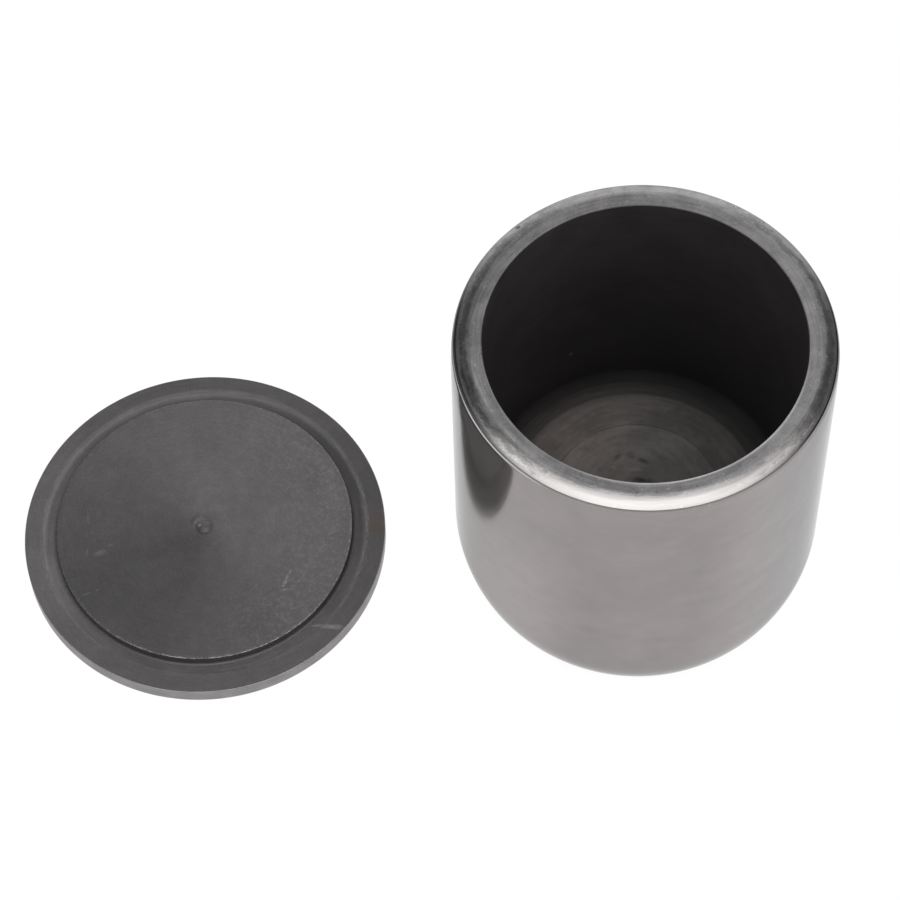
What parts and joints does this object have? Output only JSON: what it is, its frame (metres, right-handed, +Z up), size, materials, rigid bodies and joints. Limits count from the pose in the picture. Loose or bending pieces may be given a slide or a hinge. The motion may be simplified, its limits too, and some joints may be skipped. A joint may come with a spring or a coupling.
{
  "type": "foundry crucible",
  "caption": "Small turned graphite crucible with a thick wall, rounded base and cylindrical melt cavity, with its plug lid lying upside down beside it.",
  "frame": {"origin": "centre of the crucible's flat underside, on the surface that crucible and lid stand on", "axes": "+Z up along the crucible's bore, -X towards the lid that lies beside it"},
  "size_m": [0.1328, 0.0608, 0.061],
  "materials": {
    "polished_graphite": "satin",
    "matte_graphite": "matte"
  },
  "bodies": {
    "root": {"crucible": "polished_graphite", "lid": "matte_graphite"}
  },
  "joints": []
}
